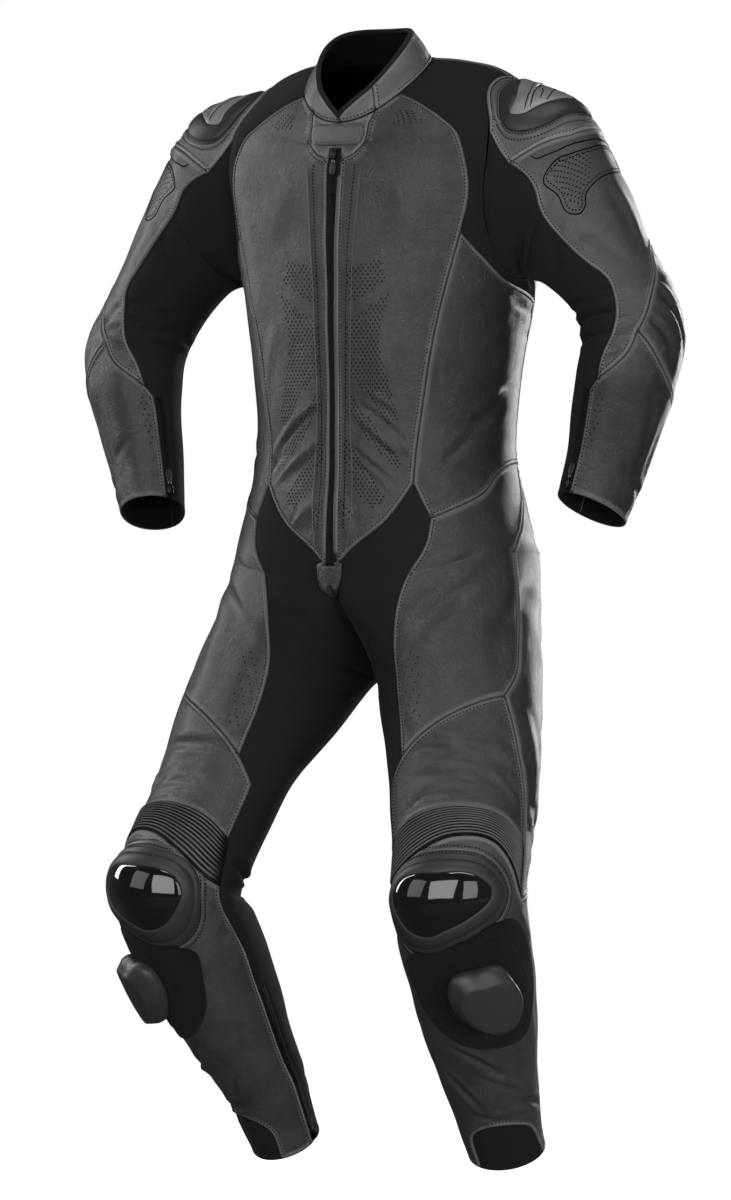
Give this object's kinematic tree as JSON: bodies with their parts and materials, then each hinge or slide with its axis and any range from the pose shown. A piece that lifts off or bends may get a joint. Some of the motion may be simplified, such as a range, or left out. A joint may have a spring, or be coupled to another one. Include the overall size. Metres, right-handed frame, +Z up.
{
  "type": "motorcycle race suit",
  "caption": "One-piece leather motorcycle race suit, hollow and in its worn shape, with stretch panels, knee cups, knee pucks and shoulder inserts.",
  "frame": {"origin": "middle of the neck's base, where the wearer's shoulders carry the suit", "axes": "+Z up towards the collar, the front faces -Y, the wearer's left is +X"},
  "size_m": [0.8206, 0.3999, 1.3814],
  "materials": {
    "leather": "satin, lightly creased grain",
    "stretch_fabric": "matte",
    "zip": "woven tape",
    "zip_metal": "dark, satin",
    "collar_leather": "satin",
    "knee_shell": "gloss insert in a matte frame",
    "loop_fabric": "matte nap",
    "slider_plastic": "moulded, semi-matte",
    "shoulder_shell": "satin grey"
  },
  "bodies": {
    "suit": {"back_accordion": "leather", "back_upper": "leather", "calf_stretch_left": "stretch_fabric", "calf_stretch_right": "stretch_fabric", "calf_zip_left": "zip", "calf_zip_right": "zip", "collar_back": "collar_leather", "collar_front_left": "collar_leather", "collar_front_right": "collar_leather", "collar_tab": "leather", "cuff_zip_left": "zip", "cuff_zip_right": "zip", "elbow_panel_left": "leather", "elbow_panel_right": "leather", "forearm_panel_left": "leather", "forearm_panel_right": "leather", "front_left": "leather", "front_right": "leather", "front_zip": "zip", "hem_gusset_left": "stretch_fabric", "hem_gusset_right": "stretch_fabric", "knee_above_left": "leather", "knee_above_right": "leather", "knee_accordion_left": "leather", "knee_accordion_right": "leather", "knee_cup_left": "knee_shell", "knee_cup_right": "knee_shell", "knee_patch_left": "loop_fabric", "knee_patch_right": "loop_fabric", "knee_puck_left": "slider_plastic", "knee_puck_right": "slider_plastic", "neck_inset": "leather", "shin_panel_left": "leather", "shin_panel_right": "leather", "shoulder_cap_left": "leather", "shoulder_cap_right": "leather", "shoulder_slider_left": "shoulder_shell", "shoulder_slider_right": "shoulder_shell", "shoulder_stretch_left": "stretch_fabric", "shoulder_stretch_right": "stretch_fabric", "side_left": "leather", "side_right": "leather", "sleeve_outer_left": "leather", "sleeve_outer_right": "leather", "sleeve_stretch_left": "stretch_fabric", "sleeve_stretch_right": "stretch_fabric", "thigh_front_left": "leather", "thigh_front_right": "leather", "thigh_outer_left": "leather", "thigh_outer_right": "leather", "thigh_stretch_left": "stretch_fabric", "thigh_stretch_right": "stretch_fabric", "zip_end_tab": "leather"},
    "calf_zip_pull_left": {"calf_zip_pull_left": "zip_metal"},
    "calf_zip_pull_right": {"calf_zip_pull_right": "zip_metal"},
    "cuff_zip_pull_left": {"cuff_zip_pull_left": "zip_metal"},
    "cuff_zip_pull_right": {"cuff_zip_pull_right": "zip_metal"},
    "front_zip_pull": {"front_zip_pull": "zip_metal"}
  },
  "joints": [
    {"name": "calf_zip_pull_left_swing", "type": "hinge", "parent": "suit", "child": "calf_zip_pull_left", "pos_m": [0.10904, -0.00359, -1.25782], "axis": [0.0029, -0.8597, -0.5108], "range_deg": [0, 85]},
    {"name": "calf_zip_pull_right_swing", "type": "hinge", "parent": "suit", "child": "calf_zip_pull_right", "pos_m": [-0.10904, -0.00359, -1.25782], "axis": [0.0029, 0.8597, 0.5108], "range_deg": [0, 85]},
    {"name": "cuff_zip_pull_left_swing", "type": "hinge", "parent": "suit", "child": "cuff_zip_pull_left", "pos_m": [0.29574, -0.08978, -0.46444], "axis": [0.9273, -0.3232, -0.189], "range_deg": [0, 85]},
    {"name": "cuff_zip_pull_right_swing", "type": "hinge", "parent": "suit", "child": "cuff_zip_pull_right", "pos_m": [-0.27267, -0.07159, -0.46715], "axis": [0.4929, 0.8697, -0.0264], "range_deg": [0, 85]},
    {"name": "front_zip_pull_swing", "type": "hinge", "parent": "suit", "child": "front_zip_pull", "pos_m": [0.00001, -0.13947, -0.08028], "axis": [-1, -0.0042, 0.0008], "range_deg": [0, 85]}
  ]
}
